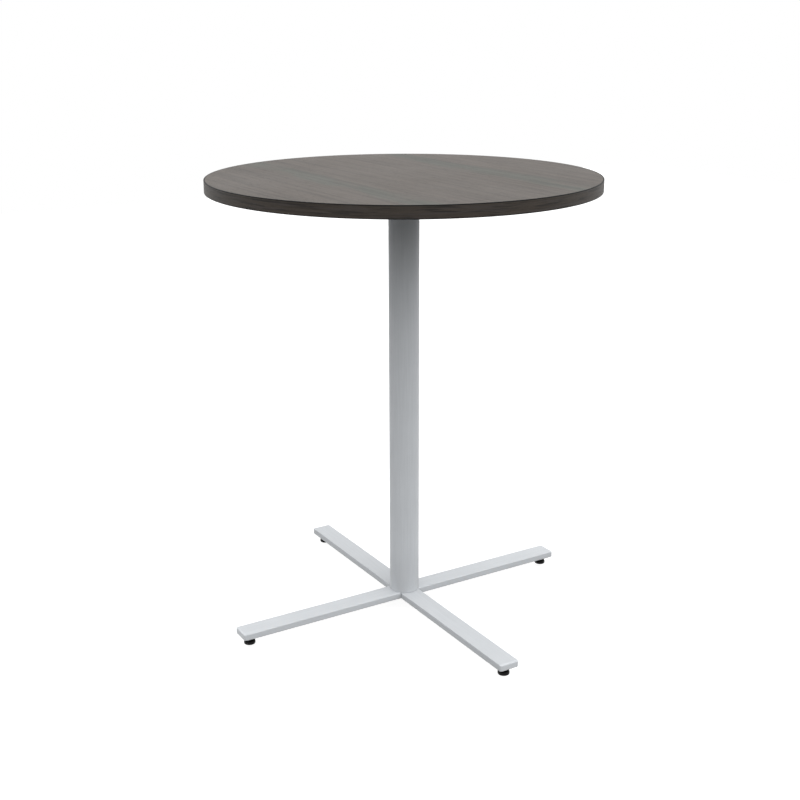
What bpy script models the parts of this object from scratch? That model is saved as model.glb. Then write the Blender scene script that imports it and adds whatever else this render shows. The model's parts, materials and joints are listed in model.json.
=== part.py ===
"""Standing-height pedestal table: a round laminate top on one steel column and a cross of four flat legs.

Units are metres and +Z is up. The origin is on the floor, under the middle of the column. The through leg lies
along X and the two half legs along Y. The glides are modelled fully screwed in.
"""

import math

import bmesh
import bpy
from mathutils import Matrix

# Gap left between pieces that touch, and round what passes through a hole
SEAT_GAP = 0.0003

# Tabletop
TOP_HEIGHT = 1.0795
TOP_DIAMETER = 0.9144
LAMINATE_THICKNESS = 0.0010
CORE_THICKNESS = 0.0262
BACKER_THICKNESS = 0.0008
BAND_THICKNESS = 0.0030
BAND_EDGE_RADIUS = 0.0010

# Mounting plate under the top, its screws and the inserts in the core
PLATE_SPAN = 0.5000
PLATE_THICKNESS = 0.0050
PLATE_ROOT_WIDTH = 0.0900
PLATE_TIP_WIDTH = 0.0400
PLATE_CORNER_RADIUS = 0.0120
SCREW_INNER_REACH = 0.0900
SCREW_TIP_INSET = 0.0200
SCREW_DIAMETER = 0.0060
SCREW_REACH = 0.0120
SCREW_HEAD_DIAMETER = 0.0120
SCREW_HEAD_HEIGHT = 0.0036
SCREW_HEAD_CROWN = 0.0010
SCREW_SOCKET_ACROSS_FLATS = 0.0040
SCREW_SOCKET_DEPTH = 0.0022
CORE_INSERT_DIAMETER = 0.0100
CORE_INSERT_LENGTH = 0.0130

# Column, and what locates and clamps it
COLUMN_DIAMETER = 0.0730
COLUMN_WALL = 0.0020
COLLAR_WALL = 0.0030
COLLAR_HEIGHT = 0.0250
FOOT_DISC_THICKNESS = 0.0060
TIE_ROD_DIAMETER = 0.0120
TIE_ROD_TOP_COVER = 0.0010
TIE_ROD_TAIL = 0.0015
TIE_NUT_ACROSS_FLATS = 0.0190
TIE_NUT_HEIGHT = 0.0060
PLATE_NUT_HEIGHT = 0.0100
WASHER_DIAMETER = 0.0300
WASHER_THICKNESS = 0.0025

# Base
LEG_SPAN = 0.9144
LEG_WIDTH = 0.0508
LEG_THICKNESS = 0.0159
LEG_WALL = 0.0030
LEG_EDGE_RADIUS = 0.0020
LEG_END_RADIUS = 0.0040
END_CAP_THICKNESS = 0.0055
HUB_PLATE_SPAN = 0.1500
HUB_PLATE_WIDTH = 0.0340
HUB_PLATE_THICKNESS = 0.0030

# Levelling glides
GLIDE_INSET = 0.0236
PAD_DIAMETER = 0.0276
PAD_HEIGHT = 0.0118
PAD_FOOT_CHAMFER = 0.0010
PAD_RIM_HEIGHT = 0.0056
PAD_SHOULDER_DIAMETER = 0.0205
PAD_SHOULDER_HEIGHT = 0.0094
PAD_BOSS_DIAMETER = 0.0160
PAD_LIP_THICKNESS = 0.0030
STEM_DIAMETER = 0.0080
STEM_HEAD_DIAMETER = 0.0120
STEM_HEAD_THICKNESS = 0.0030
STEM_HEADROOM = 0.0010
HEX_ACROSS_FLATS = 0.0130
HEX_HEIGHT = 0.0068
LEG_INSERT_FLANGE_DIAMETER = 0.0170
LEG_INSERT_FLANGE_THICKNESS = 0.0010
LEG_INSERT_DIAMETER = 0.0110

# Sides of the round pieces, which share their first direction so that gaps between them stay even
RIM_STEPS = 96
TUBE_STEPS = 48
PAD_STEPS = 20
FASTENER_STEPS = 12
ROUND_SEGMENTS = 3

# How far a cutter runs past the face that it cuts
CUT_OVERRUN = 0.0010

# Heights, stacked up from the floor and down from the table's surface
HEX_BOTTOM = PAD_HEIGHT + SEAT_GAP
FLANGE_BOTTOM = HEX_BOTTOM + HEX_HEIGHT + SEAT_GAP
LEG_BOTTOM = FLANGE_BOTTOM + LEG_INSERT_FLANGE_THICKNESS + SEAT_GAP
LEG_TOP = LEG_BOTTOM + LEG_THICKNESS
HUB_PLATE_TOP = LEG_BOTTOM - SEAT_GAP
WASHER_TOP = HUB_PLATE_TOP - HUB_PLATE_THICKNESS - SEAT_GAP
TIE_NUT_TOP = WASHER_TOP - WASHER_THICKNESS - SEAT_GAP
CORE_TOP = TOP_HEIGHT - LAMINATE_THICKNESS - SEAT_GAP
BACKER_TOP = CORE_TOP - CORE_THICKNESS - SEAT_GAP
TOP_UNDERSIDE = BACKER_TOP - BACKER_THICKNESS
PLATE_TOP = TOP_UNDERSIDE - SEAT_GAP
PLATE_BOTTOM = PLATE_TOP - PLATE_THICKNESS
COLUMN_BOTTOM = LEG_TOP + SEAT_GAP
COLUMN_TOP = PLATE_BOTTOM - SEAT_GAP

# Radii and reaches that neighbours share
BAND_INNER_RADIUS = TOP_DIAMETER / 2 - BAND_THICKNESS
SHEET_RADIUS = BAND_INNER_RADIUS - SEAT_GAP
COLUMN_BORE_RADIUS = COLUMN_DIAMETER / 2 - COLUMN_WALL
TIE_HOLE_RADIUS = TIE_ROD_DIAMETER / 2 + SEAT_GAP
CAP_REACH = LEG_SPAN / 2 - END_CAP_THICKNESS
GLIDE_REACH = LEG_SPAN / 2 - GLIDE_INSET
SCREW_OUTER_REACH = PLATE_SPAN / 2 - SCREW_TIP_INSET

# Directions of the four legs in the XY plane, by the side of the table that each one points to
LEGS = {
    "right": (1, 0),
    "back": (0, 1),
    "left": (-1, 0),
    "front": (0, -1),
}


def make_material(name, colour, roughness, metallic=0.0):
    """Return a plain surface with the colour, roughness and metallic value given."""
    material = bpy.data.materials.new(name)
    material.use_nodes = True
    shader = material.node_tree.nodes["Principled BSDF"]
    shader.inputs["Base Color"].default_value = (*colour, 1.0)
    shader.inputs["Roughness"].default_value = roughness
    shader.inputs["Metallic"].default_value = metallic
    return material


def make_object(name, bm, material=None, smooth=True):
    """Turn a bmesh into a named object in the scene, with outward faces."""
    bmesh.ops.remove_doubles(bm, verts=bm.verts, dist=1e-6)
    bmesh.ops.recalc_face_normals(bm, faces=bm.faces)
    mesh = bpy.data.meshes.new(name)
    bm.to_mesh(mesh)
    bm.free()
    if smooth:
        mesh.shade_smooth()
        mesh.set_sharp_from_angle(angle=math.radians(35))
    if material is not None:
        mesh.materials.append(material)
    piece = bpy.data.objects.new(name, mesh)
    bpy.context.scene.collection.objects.link(piece)
    return piece


def copy_of(piece, name):
    """Return another object with the same mesh."""
    twin = bpy.data.objects.new(name, piece.data)
    bpy.context.scene.collection.objects.link(twin)
    return twin


def turned(name, outline, steps, material, ring=False):
    """Spin an outline of (radius, height) points round Z. A ring's outline closes on itself."""
    bm = bmesh.new()
    points = [bm.verts.new((radius, 0, height)) for radius, height in outline]
    pairs = list(zip(points, points[1:]))
    if ring:
        pairs.append((points[-1], points[0]))
    edges = [bm.edges.new(pair) for pair in pairs]
    bmesh.ops.spin(bm, geom=points + edges, cent=(0, 0, 0), axis=(0, 0, 1), dvec=(0, 0, 0),
                   angle=2 * math.pi, steps=steps, use_merge=True, use_duplicate=False)
    return make_object(name, bm, material)


def hexagon_radius(across_flats):
    """Corner radius of a hexagon, marked by its sign so that a level is made six-sided."""
    return -across_flats / 2 / math.cos(math.pi / 6)


def place_level(verts, radius, height):
    """Move a ring of vertices out to a radius, or to a hexagon where the radius is negative."""
    for vert in verts:
        angle = math.atan2(vert.co.y, vert.co.x)
        reach = radius
        if radius < 0:
            off_flat = angle % (math.pi / 3) - math.pi / 6
            reach = -radius * math.cos(math.pi / 6) / math.cos(off_flat)
        vert.co = (reach * math.cos(angle), reach * math.sin(angle), height)


def stacked(name, levels, material, ring=False):
    """Extrude an outline from level to level, each given as (radius, height). A ring's last level meets its first."""
    bm = bmesh.new()
    bmesh.ops.create_circle(bm, segments=FASTENER_STEPS, radius=1)
    first = bm.edges[:]
    last = first
    place_level(bm.verts, *levels[0])
    for radius, height in levels[1:] + (levels[:1] if ring else []):
        drawn = bmesh.ops.extrude_edge_only(bm, edges=last)["geom"]
        verts = {item for item in drawn if isinstance(item, bmesh.types.BMVert)}
        last = [item for item in drawn if isinstance(item, bmesh.types.BMEdge) and set(item.verts) <= verts]
        place_level(verts, radius, height)
    if not ring:
        bmesh.ops.contextual_create(bm, geom=first)
        bmesh.ops.contextual_create(bm, geom=last)
    return make_object(name, bm, material)


def disc(name, radius, low, high, steps, material):
    """Return an upright solid cylinder on the Z axis."""
    bm = bmesh.new()
    bmesh.ops.create_cone(bm, cap_ends=True, cap_tris=False, segments=steps, radius1=radius, radius2=radius,
                          depth=high - low, matrix=Matrix.Translation((0, 0, (low + high) / 2)))
    return make_object(name, bm, material)


def block(x_range, y_range, z_range):
    """Return a bmesh box between the limits given."""
    bm = bmesh.new()
    ranges = (x_range, y_range, z_range)
    size = [high - low for low, high in ranges]
    middle = [(low + high) / 2 for low, high in ranges]
    bmesh.ops.create_cube(bm, size=1, matrix=Matrix.Translation(middle) @ Matrix.Diagonal((*size, 1)))
    return bm


def subtract(target, cutter):
    """Cut one object out of another with a live Boolean, and keep the cutter out of the model."""
    cutter.hide_render = True
    cutter.display_type = "WIRE"
    modifier = target.modifiers.new("cut_" + cutter.name, "BOOLEAN")
    modifier.operation = "DIFFERENCE"
    modifier.object = cutter


def drill(target, places, radius, low, high, steps=FASTENER_STEPS):
    """Cut an upright round hole at each (x, y) place, from one height to another."""
    bm = bmesh.new()
    for x, y in places:
        bmesh.ops.create_cone(bm, cap_ends=True, cap_tris=False, segments=steps, radius1=radius, radius2=radius,
                              depth=high - low, matrix=Matrix.Translation((x, y, (low + high) / 2)))
    subtract(target, make_object(target.name + "_holes", bm, smooth=False))


def plate_cross(name, span, root_width, tip_width, corner_radius, low, high, material):
    """Return a flat cross whose four arms taper from the middle to rounded tips."""
    bm = bmesh.new()
    corners = []
    for quarter in range(4):
        turn = Matrix.Rotation(quarter * math.pi / 2, 4, "Z")
        for x, y in ((root_width / 2, -root_width / 2), (span / 2, -tip_width / 2), (span / 2, tip_width / 2)):
            corners.append(bm.verts.new((turn @ Matrix.Translation((x, y, low))).translation))
    face = bm.faces.new(corners)
    raised = bmesh.ops.extrude_face_region(bm, geom=[face])
    lifted = [item for item in raised["geom"] if isinstance(item, bmesh.types.BMVert)]
    bmesh.ops.translate(bm, verts=lifted, vec=(0, 0, high - low))
    tips = [edge for edge in bm.edges
            if abs(edge.verts[0].co.z - edge.verts[1].co.z) > (high - low) / 2
            and edge.verts[0].co.xy.length > (root_width + span) / 4]
    if corner_radius > 0:
        bmesh.ops.bevel(bm, geom=tips, offset=corner_radius, offset_type="OFFSET", affect="EDGES",
                        segments=ROUND_SEGMENTS, profile=0.5, material=-1)
    return make_object(name, bm, material)


def screw_places():
    """Centres of the screws that hold the mounting plate, four near the column and then four near the tips."""
    reaches = (SCREW_INNER_REACH, SCREW_OUTER_REACH)
    return [(x * reach, y * reach) for reach in reaches for x, y in LEGS.values()]


def make_tabletop(board, laminate, backer, edging):
    """Core, surface laminate, backer sheet and the edge band that goes round all three."""
    core = disc("tabletop_core", SHEET_RADIUS, CORE_TOP - CORE_THICKNESS, CORE_TOP, RIM_STEPS, board)
    drill(core, screw_places(), CORE_INSERT_DIAMETER / 2 + SEAT_GAP, TOP_UNDERSIDE - CUT_OVERRUN,
          TOP_UNDERSIDE + CORE_INSERT_LENGTH + SEAT_GAP)
    disc("top_laminate", SHEET_RADIUS, TOP_HEIGHT - LAMINATE_THICKNESS, TOP_HEIGHT, RIM_STEPS, laminate)
    sheet = disc("backer_sheet", SHEET_RADIUS, TOP_UNDERSIDE, BACKER_TOP, RIM_STEPS, backer)
    drill(sheet, screw_places(), CORE_INSERT_DIAMETER / 2 + SEAT_GAP, TOP_UNDERSIDE - CUT_OVERRUN,
          BACKER_TOP + SEAT_GAP / 2)

    outer = TOP_DIAMETER / 2
    quarter = [(BAND_EDGE_RADIUS * math.sin(angle), BAND_EDGE_RADIUS * (1 - math.cos(angle)))
               for angle in (0, math.pi / 4, math.pi / 2)]
    lower = [(outer - BAND_EDGE_RADIUS + out, TOP_UNDERSIDE + up) for out, up in quarter]
    upper = [(outer - BAND_EDGE_RADIUS + out, TOP_HEIGHT - up) for out, up in reversed(quarter)]
    outline = [(BAND_INNER_RADIUS, TOP_UNDERSIDE), *lower, *upper, (BAND_INNER_RADIUS, TOP_HEIGHT)]
    turned("edge_band", outline, RIM_STEPS, edging, ring=True)


def make_plate(steel, brass, zinc):
    """Mounting plate under the top, with its inserts, screws, column collar and welded nut."""
    plate = plate_cross("mounting_plate", PLATE_SPAN, PLATE_ROOT_WIDTH, PLATE_TIP_WIDTH, PLATE_CORNER_RADIUS,
                        PLATE_BOTTOM, PLATE_TOP, steel)
    drill(plate, screw_places(), SCREW_DIAMETER / 2 + SEAT_GAP, PLATE_BOTTOM - CUT_OVERRUN,
          PLATE_TOP + CUT_OVERRUN)
    drill(plate, [(0, 0)], TIE_HOLE_RADIUS, PLATE_BOTTOM - CUT_OVERRUN, PLATE_TOP + CUT_OVERRUN)

    bore = SCREW_DIAMETER / 2 + SEAT_GAP
    wall = CORE_INSERT_DIAMETER / 2
    insert_top = CORE_INSERT_LENGTH
    insert_outline = [(bore, 0), (wall, 0), (wall, insert_top), (bore, insert_top)]

    shank = SCREW_DIAMETER / 2
    head = SCREW_HEAD_DIAMETER / 2
    head_top = PLATE_BOTTOM - SEAT_GAP - TOP_UNDERSIDE
    head_low = head_top - SCREW_HEAD_HEIGHT
    socket = hexagon_radius(SCREW_SOCKET_ACROSS_FLATS)
    screw_levels = [
        (SCREW_SOCKET_ACROSS_FLATS / 4, head_low + SCREW_SOCKET_DEPTH),
        (socket, head_low + SCREW_SOCKET_DEPTH),
        (socket, head_low),
        (head - SCREW_HEAD_CROWN, head_low),
        (head, head_low + SCREW_HEAD_CROWN),
        (head, head_top),
        (shank, head_top),
        (shank, SCREW_REACH),
    ]
    insert = None
    screw = None
    for number, (x, y) in enumerate(screw_places(), start=1):
        if insert is None:
            insert = turned("core_insert_1", insert_outline, FASTENER_STEPS, brass, ring=True)
            screw = stacked("plate_screw_1", screw_levels, zinc)
            pair = (insert, screw)
        else:
            pair = (copy_of(insert, f"core_insert_{number}"), copy_of(screw, f"plate_screw_{number}"))
        for piece in pair:
            piece.location = (x, y, TOP_UNDERSIDE)

    outer = COLUMN_BORE_RADIUS - SEAT_GAP
    inner = outer - COLLAR_WALL
    low = COLUMN_TOP - COLLAR_HEIGHT
    turned("column_collar", [(inner, low), (outer, low), (outer, COLUMN_TOP), (inner, COLUMN_TOP)],
           TUBE_STEPS, steel, ring=True)
    hexagon = hexagon_radius(TIE_NUT_ACROSS_FLATS)
    low = COLUMN_TOP - PLATE_NUT_HEIGHT
    stacked("plate_nut", [(hexagon, low), (hexagon, COLUMN_TOP), (TIE_HOLE_RADIUS, COLUMN_TOP),
                          (TIE_HOLE_RADIUS, low)], zinc, ring=True)


def make_column(paint, steel, zinc):
    """Column tube, its foot disc, and the tie rod that clamps the column between the plate and the base."""
    outer = COLUMN_DIAMETER / 2
    bore = COLUMN_BORE_RADIUS
    turned("column_tube", [(bore, COLUMN_BOTTOM), (outer, COLUMN_BOTTOM), (outer, COLUMN_TOP), (bore, COLUMN_TOP)],
           TUBE_STEPS, paint, ring=True)
    foot = disc("column_foot_disc", bore - SEAT_GAP, COLUMN_BOTTOM, COLUMN_BOTTOM + FOOT_DISC_THICKNESS,
                TUBE_STEPS, steel)
    drill(foot, [(0, 0)], TIE_HOLE_RADIUS, COLUMN_BOTTOM - CUT_OVERRUN,
          COLUMN_BOTTOM + FOOT_DISC_THICKNESS + CUT_OVERRUN)

    nut_low = TIE_NUT_TOP - TIE_NUT_HEIGHT
    disc("tie_rod", TIE_ROD_DIAMETER / 2, nut_low - TIE_ROD_TAIL, TOP_UNDERSIDE - TIE_ROD_TOP_COVER,
         FASTENER_STEPS, zinc)
    hexagon = hexagon_radius(TIE_NUT_ACROSS_FLATS)
    stacked("tie_nut", [(hexagon, nut_low), (hexagon, TIE_NUT_TOP), (TIE_HOLE_RADIUS, TIE_NUT_TOP),
                        (TIE_HOLE_RADIUS, nut_low)], zinc, ring=True)
    low = WASHER_TOP - WASHER_THICKNESS
    edge = WASHER_DIAMETER / 2
    turned("tie_washer", [(TIE_HOLE_RADIUS, low), (edge, low), (edge, WASHER_TOP), (TIE_HOLE_RADIUS, WASHER_TOP)],
           PAD_STEPS, zinc, ring=True)


def make_leg(name, start, end, paint):
    """Return a rectangular leg tube along X, with softly rounded long edges and an open bore."""
    half = LEG_WIDTH / 2
    bm = block((start, end), (-half, half), (LEG_BOTTOM, LEG_TOP))
    long_edges = [edge for edge in bm.edges if abs(edge.verts[0].co.x - edge.verts[1].co.x) > (end - start) / 2]
    bmesh.ops.bevel(bm, geom=long_edges, offset=LEG_EDGE_RADIUS, offset_type="OFFSET", affect="EDGES",
                    segments=ROUND_SEGMENTS, profile=0.5, material=-1)
    leg = make_object(name, bm, paint)
    bore = block((start - CUT_OVERRUN, end + CUT_OVERRUN), (LEG_WALL - half, half - LEG_WALL),
                 (LEG_BOTTOM + LEG_WALL, LEG_TOP - LEG_WALL))
    subtract(leg, make_object(name + "_bore", bore, smooth=False))
    return leg


def make_end_cap(name, paint):
    """Return a leg's end cap at +X: rounded at its two upright corners, and along its top and bottom edges."""
    half = LEG_WIDTH / 2
    bm = block((CAP_REACH, LEG_SPAN / 2), (-half, half), (LEG_BOTTOM, LEG_TOP))
    tip = LEG_SPAN / 2 - END_CAP_THICKNESS / 2
    upright = [edge for edge in bm.edges
               if abs(edge.verts[0].co.z - edge.verts[1].co.z) > LEG_THICKNESS / 2
               and min(vert.co.x for vert in edge.verts) > tip]
    bmesh.ops.bevel(bm, geom=upright, offset=LEG_END_RADIUS, offset_type="OFFSET", affect="EDGES",
                    segments=ROUND_SEGMENTS, profile=0.5, material=-1)
    level = [edge for edge in bm.edges
             if abs(edge.verts[0].co.z - edge.verts[1].co.z) < SEAT_GAP
             and max(vert.co.x for vert in edge.verts) > CAP_REACH + SEAT_GAP]
    bmesh.ops.bevel(bm, geom=level, offset=LEG_EDGE_RADIUS, offset_type="OFFSET", affect="EDGES",
                    segments=ROUND_SEGMENTS, profile=0.5, material=-1)
    return make_object(name, bm, paint)


def make_base(paint, zinc):
    """Cross of one through leg and two half legs, with end caps, crush sleeve and hub plate."""
    mid_height = (LEG_BOTTOM + LEG_TOP) / 2
    wall_hole = LEG_INSERT_DIAMETER / 2 + SEAT_GAP
    leg_end = CAP_REACH - SEAT_GAP
    through = make_leg("through_leg", -leg_end, leg_end, paint)
    drill(through, [(-GLIDE_REACH, 0), (GLIDE_REACH, 0)], wall_hole, LEG_BOTTOM - CUT_OVERRUN, mid_height)
    drill(through, [(0, 0)], TIE_HOLE_RADIUS, LEG_BOTTOM - CUT_OVERRUN, LEG_TOP + CUT_OVERRUN)
    for side in ("back", "front"):
        half_leg = make_leg("half_leg_" + side, LEG_WIDTH / 2 + SEAT_GAP, leg_end, paint)
        drill(half_leg, [(GLIDE_REACH, 0)], wall_hole, LEG_BOTTOM - CUT_OVERRUN, mid_height)
        half_leg.rotation_euler.z = leg_angle(side)
        for modifier in half_leg.modifiers:
            modifier.object.rotation_euler.z = leg_angle(side)

    cap = None
    for side in LEGS:
        piece = make_end_cap("leg_end_cap_" + side, paint) if cap is None else copy_of(cap, "leg_end_cap_" + side)
        piece.rotation_euler.z = leg_angle(side)
        cap = cap or piece

    low = LEG_BOTTOM + LEG_WALL + SEAT_GAP
    high = LEG_TOP - LEG_WALL - SEAT_GAP
    edge = TIE_NUT_ACROSS_FLATS / 2
    turned("crush_sleeve", [(TIE_HOLE_RADIUS, low), (edge, low), (edge, high), (TIE_HOLE_RADIUS, high)],
           FASTENER_STEPS, zinc, ring=True)
    hub = plate_cross("hub_plate", HUB_PLATE_SPAN, HUB_PLATE_WIDTH, HUB_PLATE_WIDTH, 0,
                      HUB_PLATE_TOP - HUB_PLATE_THICKNESS, HUB_PLATE_TOP, paint)
    drill(hub, [(0, 0)], TIE_HOLE_RADIUS, HUB_PLATE_TOP - HUB_PLATE_THICKNESS - CUT_OVERRUN,
          HUB_PLATE_TOP + SEAT_GAP / 2)


def leg_angle(side):
    """Turn about Z that takes +X to a leg's direction."""
    x, y = LEGS[side]
    return math.atan2(y, x)


def make_glides(nylon, zinc):
    """Four levelling glides: a nylon foot snapped over the head of a steel stem, and the insert it screws into."""
    foot = PAD_DIAMETER / 2
    shoulder = PAD_SHOULDER_DIAMETER / 2
    boss = PAD_BOSS_DIAMETER / 2
    bulge_angle = math.pi / 4
    bulge_out = (foot - shoulder) * math.cos(bulge_angle)
    bulge_up = (PAD_SHOULDER_HEIGHT - PAD_RIM_HEIGHT) * math.sin(bulge_angle)
    head_top = PAD_HEIGHT - PAD_LIP_THICKNESS - SEAT_GAP
    head_low = head_top - STEM_HEAD_THICKNESS
    socket = STEM_HEAD_DIAMETER / 2 + SEAT_GAP
    mouth = STEM_DIAMETER / 2 + SEAT_GAP
    pad_outline = [
        (0, 0),
        (foot - PAD_FOOT_CHAMFER, 0),
        (foot, PAD_FOOT_CHAMFER),
        (foot, PAD_RIM_HEIGHT),
        (shoulder + bulge_out, PAD_RIM_HEIGHT + bulge_up),
        (shoulder, PAD_SHOULDER_HEIGHT),
        (boss, PAD_SHOULDER_HEIGHT),
        (boss, PAD_HEIGHT),
        (mouth, PAD_HEIGHT),
        (mouth, head_top + SEAT_GAP),
        (socket, head_top + SEAT_GAP),
        (socket, head_low - SEAT_GAP),
        (0, head_low - SEAT_GAP),
    ]
    head = STEM_HEAD_DIAMETER / 2
    stud = STEM_DIAMETER / 2
    hexagon = hexagon_radius(HEX_ACROSS_FLATS)
    hex_top = HEX_BOTTOM + HEX_HEIGHT
    stem_levels = [
        (head, head_low),
        (head, head_top),
        (stud, head_top),
        (stud, HEX_BOTTOM),
        (hexagon, HEX_BOTTOM),
        (hexagon, hex_top),
        (stud, hex_top),
        (stud, LEG_TOP - LEG_WALL - STEM_HEADROOM),
    ]
    flange = LEG_INSERT_FLANGE_DIAMETER / 2
    barrel = LEG_INSERT_DIAMETER / 2
    flange_top = FLANGE_BOTTOM + LEG_INSERT_FLANGE_THICKNESS
    barrel_top = LEG_TOP - LEG_WALL - SEAT_GAP
    insert_outline = [
        (mouth, FLANGE_BOTTOM),
        (flange, FLANGE_BOTTOM),
        (flange, flange_top),
        (barrel, flange_top),
        (barrel, barrel_top),
        (mouth, barrel_top),
    ]
    first = None
    for side, (x, y) in LEGS.items():
        names = ["glide_pad_" + side, "glide_stem_" + side, "glide_insert_" + side]
        if first is None:
            first = [
                turned(names[0], pad_outline, PAD_STEPS, nylon),
                stacked(names[1], stem_levels, zinc),
                turned(names[2], insert_outline, FASTENER_STEPS, zinc, ring=True),
            ]
            glide = first
        else:
            glide = [copy_of(piece, name) for piece, name in zip(first, names)]
        for piece in glide:
            piece.location = (x * GLIDE_REACH, y * GLIDE_REACH, 0)


def make_table():
    """Clear the scene and build every piece."""
    for leftover in list(bpy.data.objects):
        bpy.data.objects.remove(leftover)
    board = make_material("particleboard", (0.42, 0.29, 0.16), 0.90)
    laminate = make_material("dark_laminate", (0.075, 0.066, 0.060), 0.42)
    backer = make_material("backer_brown", (0.060, 0.050, 0.042), 0.60)
    edging = make_material("dark_edge_band", (0.052, 0.042, 0.036), 0.45)
    paint = make_material("silver_paint", (0.50, 0.51, 0.53), 0.38, 0.55)
    steel = make_material("black_steel", (0.030, 0.030, 0.032), 0.55, 0.30)
    brass = make_material("insert_brass", (0.60, 0.42, 0.16), 0.35, 1.00)
    zinc = make_material("zinc_plate", (0.52, 0.52, 0.50), 0.35, 1.00)
    nylon = make_material("black_nylon", (0.018, 0.018, 0.019), 0.50)
    make_tabletop(board, laminate, backer, edging)
    make_plate(steel, brass, zinc)
    make_column(paint, steel, zinc)
    make_base(paint, zinc)
    make_glides(nylon, zinc)


make_table()
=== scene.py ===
# %% [markdown]
# # A standing-height pedestal table
#
# This lesson dresses a table whose construction is already settled: a round laminate top, one round steel column,
# and a cross of four flat legs on levelling glides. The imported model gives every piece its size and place. Here each
# piece that shows gets its finish, and the ones whose faceted solid is too coarse get a finer mesh in the same place.
#
# The order is the order of a workshop: camera, helpers, finishes, then the pieces, then the floor and the light.

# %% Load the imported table
import json
import math
import bmesh
import bpy
from mathutils import Matrix, Vector


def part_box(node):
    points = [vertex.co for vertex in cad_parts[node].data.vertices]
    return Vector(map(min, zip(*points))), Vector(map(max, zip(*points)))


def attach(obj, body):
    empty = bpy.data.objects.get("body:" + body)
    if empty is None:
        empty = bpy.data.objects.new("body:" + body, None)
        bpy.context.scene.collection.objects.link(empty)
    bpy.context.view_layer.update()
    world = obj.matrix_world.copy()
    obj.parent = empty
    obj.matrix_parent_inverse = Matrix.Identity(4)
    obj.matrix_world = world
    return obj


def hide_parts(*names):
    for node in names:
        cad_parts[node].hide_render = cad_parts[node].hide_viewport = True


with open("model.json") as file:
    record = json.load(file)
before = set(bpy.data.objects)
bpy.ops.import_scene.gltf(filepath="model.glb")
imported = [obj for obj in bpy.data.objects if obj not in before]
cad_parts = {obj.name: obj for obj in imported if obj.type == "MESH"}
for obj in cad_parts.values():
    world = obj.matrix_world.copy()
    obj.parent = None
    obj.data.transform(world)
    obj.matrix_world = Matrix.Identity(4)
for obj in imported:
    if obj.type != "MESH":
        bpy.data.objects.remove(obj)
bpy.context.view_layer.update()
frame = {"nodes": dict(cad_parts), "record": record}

record = frame["record"]
scene = bpy.context.scene

# %% [markdown]
# ## The camera
#
# The photograph was taken from a little above the tabletop, about three metres away. Its lens and place were worked
# out from the outlines of the round top, the column and the four leg ends. From that far away the column's sides look
# nearly parallel, as they do in the photograph.

# %% Camera
CAMERA_PLACE = Vector((-1.5001, -2.4587, 1.4418))
CAMERA_HEADING = math.radians(31.188)
CAMERA_DIP = math.radians(17.440)
CAMERA_ROLL = math.radians(-0.138)
FOCAL_LENGTH_MM = 55.76
SENSOR_WIDTH_MM = 36

camera_data = bpy.data.cameras.new("photo_camera")
camera_data.lens = FOCAL_LENGTH_MM
camera_data.sensor_width = SENSOR_WIDTH_MM
camera = bpy.data.objects.new("photo_camera", camera_data)
camera.matrix_world = (Matrix.Translation(CAMERA_PLACE)
                       @ Matrix.Rotation(-CAMERA_HEADING, 4, "Z")
                       @ Matrix.Rotation(math.pi / 2 - CAMERA_DIP, 4, "X")
                       @ Matrix.Rotation(CAMERA_ROLL, 4, "Z"))
scene.collection.objects.link(camera)
scene.camera = camera
print("camera to column:", round((CAMERA_PLACE - Vector((0, 0, CAMERA_PLACE.z))).length, 3), "m")

# %% [markdown]
# ## Small helpers
#
# Every new piece goes through the same door. It is cleaned, its faces are turned outwards, it gets its finish, and it
# rides on the same body as the node that it stands for. A weighted normal keeps large flat faces flat in the shading
# while the rounded edges beside them still catch the light.

# %% Finishing a piece
MERGE_DISTANCE = 2e-6
SHARP_ANGLE = math.radians(42)

body_of_node = {node: body for body, nodes in record["behaviour"]["bodies"].items() for node in nodes}


def add_piece(name, bm, material, stands_for):
    """Turn a bmesh into a finished piece that stands for one or more nodes of one body."""
    bmesh.ops.remove_doubles(bm, verts=bm.verts, dist=MERGE_DISTANCE)
    bmesh.ops.recalc_face_normals(bm, faces=bm.faces)
    mesh = bpy.data.meshes.new(name)
    bm.to_mesh(mesh)
    bm.free()
    mesh.materials.append(material)
    mesh.shade_smooth()
    mesh.set_sharp_from_angle(angle=SHARP_ANGLE)
    piece = bpy.data.objects.new(name, mesh)
    scene.collection.objects.link(piece)
    flatter = piece.modifiers.new("flat_faces", "WEIGHTED_NORMAL")
    flatter.keep_sharp = True
    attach(piece, body_of_node[stands_for[0]])
    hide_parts(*stands_for)
    return piece


def span(node):
    """Lowest corner, highest corner and middle of a node at rest."""
    low, high = (Vector(corner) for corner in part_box(node))
    return low, high, (low + high) / 2


# %% [markdown]
# ## Turning, sawing and drilling
#
# A lathe makes a round piece from its section, so the turning helper does the same: it draws half a section, rounds
# its corners, and spins it. Bars start as a block whose edges are rounded. Holes and recesses are cut with a Boolean,
# and the result is kept as plain mesh so that no cutter is left in the scene.

# %% Turning a round piece
ROUNDING_SEGMENTS = 4
WIDE_ROUND_SIDES = 72
ROUND_SIDES = 48
SMALL_ROUND_SIDES = 32


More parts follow.
